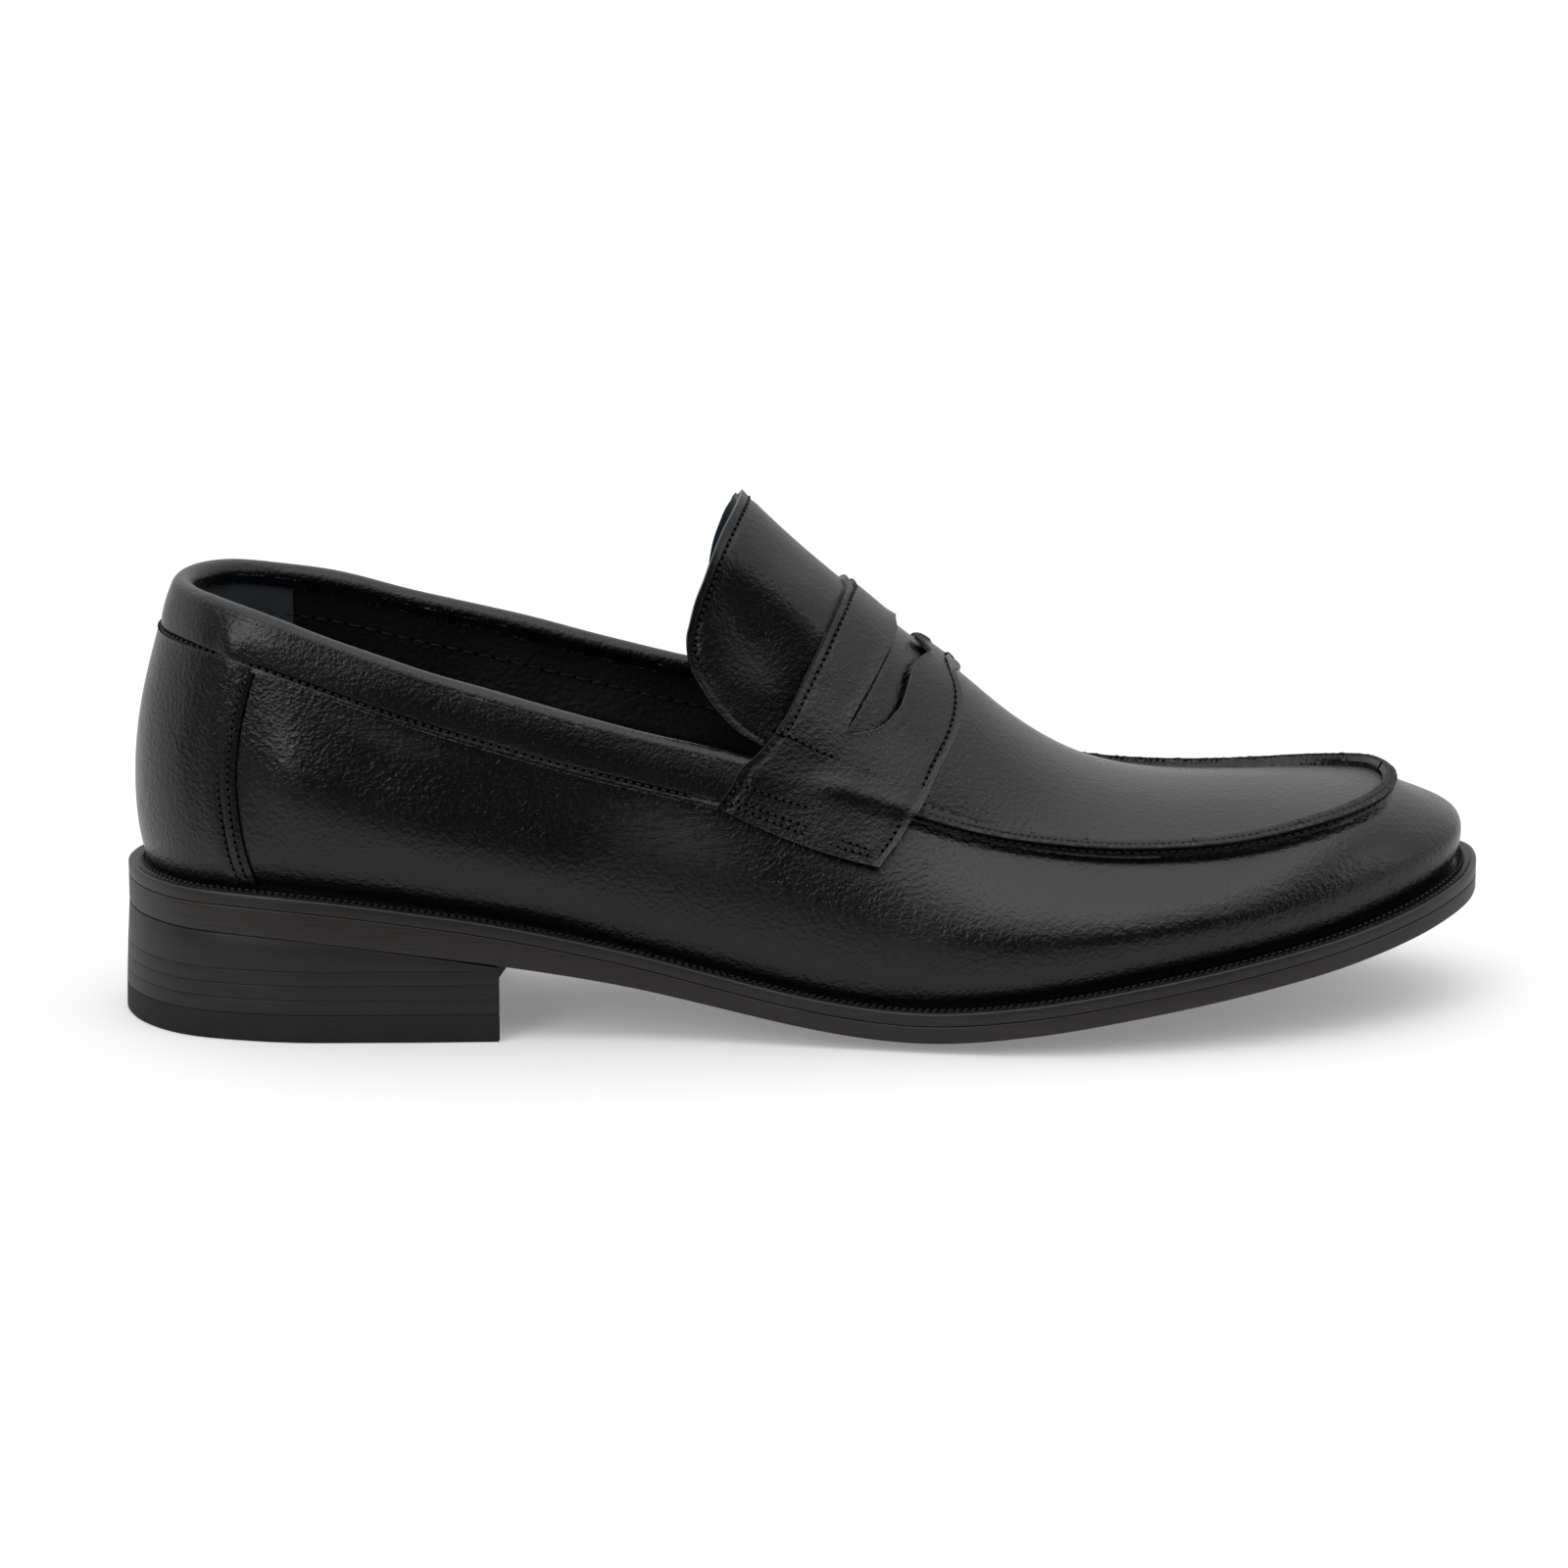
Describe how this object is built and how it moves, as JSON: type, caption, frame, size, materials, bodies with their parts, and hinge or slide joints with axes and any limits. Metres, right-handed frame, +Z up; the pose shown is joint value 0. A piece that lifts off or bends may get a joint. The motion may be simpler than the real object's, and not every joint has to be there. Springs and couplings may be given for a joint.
{
  "type": "penny loafer",
  "caption": "Black leather penny loafer for the right foot: slip-on upper with raised apron seam, slotted saddle strap, flexing tongue, folded collar, welt, and stacked block heel.",
  "frame": {"origin": "centre of the heel seat on the ground plane, at the underside of the rubber top piece", "axes": "+X towards the toe, +Y towards the inner (medial) side of the foot, +Z up"},
  "size_m": [0.304, 0.1024, 0.1166],
  "materials": {
    "upper_leather": "fine-grained smooth calf, semi-gloss, aniline black",
    "strap_leather": "fine-grained smooth calf, semi-gloss, aniline black",
    "binding_leather": "soft folded calf, semi-gloss black",
    "tongue_leather": "fine-grained smooth calf, semi-gloss, aniline black",
    "lining_leather": "smooth black lining leather",
    "tongue_lining": "dark teal brushed lining",
    "heel_suede": "dark blue-grey suede",
    "sock_leather": "smooth black sock leather",
    "pad_foam": "soft foam",
    "board": "leather board",
    "stiffener_board": "fibre board stiffener",
    "cork": "granulated cork filler",
    "shank_steel": "tempered steel strip",
    "nail_steel": "steel",
    "welt_leather": "edge-dyed welt leather, wheeled top",
    "outsole_leather": "dark sole leather, polished edge",
    "lift_leather": "stacked leather, black-brown edge dye",
    "top_rubber": "matt pitted rubber",
    "thread": "waxed black thread"
  },
  "bodies": {
    "shoe": {"outsole": "outsole_leather", "welt": "welt_leather", "insole": "board", "shank": "shank_steel", "filler": "cork", "heel_pad": "pad_foam", "sock_liner": "sock_leather", "heel_lift_1": "lift_leather", "heel_lift_2": "lift_leather", "heel_lift_3": "lift_leather", "heel_wedge": "lift_leather", "top_piece": "top_rubber", "heel_nails": "nail_steel", "heel_counter": "stiffener_board", "toe_puff": "stiffener_board", "side_wrap": "upper_leather", "apron": "upper_leather", "heel_cover": "upper_leather", "collar_binding": "binding_leather", "saddle_strap": "strap_leather", "vamp_lining": "lining_leather", "quarter_lining_outer": "lining_leather", "quarter_lining_inner": "lining_leather", "heel_grip": "heel_suede", "thread_welt": "thread", "thread_apron": "thread", "thread_collar": "thread", "thread_strap": "thread", "thread_heel": "thread"},
    "tongue": {"tongue": "tongue_leather", "tongue_lining": "tongue_lining", "thread_tongue": "thread"}
  },
  "joints": [
    {"name": "tongue_flex", "type": "hinge", "parent": "shoe", "child": "tongue", "pos_m": [0.128, 0.006, 0.0936], "axis": [0, 1, 0], "range_deg": [0, 20], "stiffness_Nm_per_rad": 0.004}
  ]
}
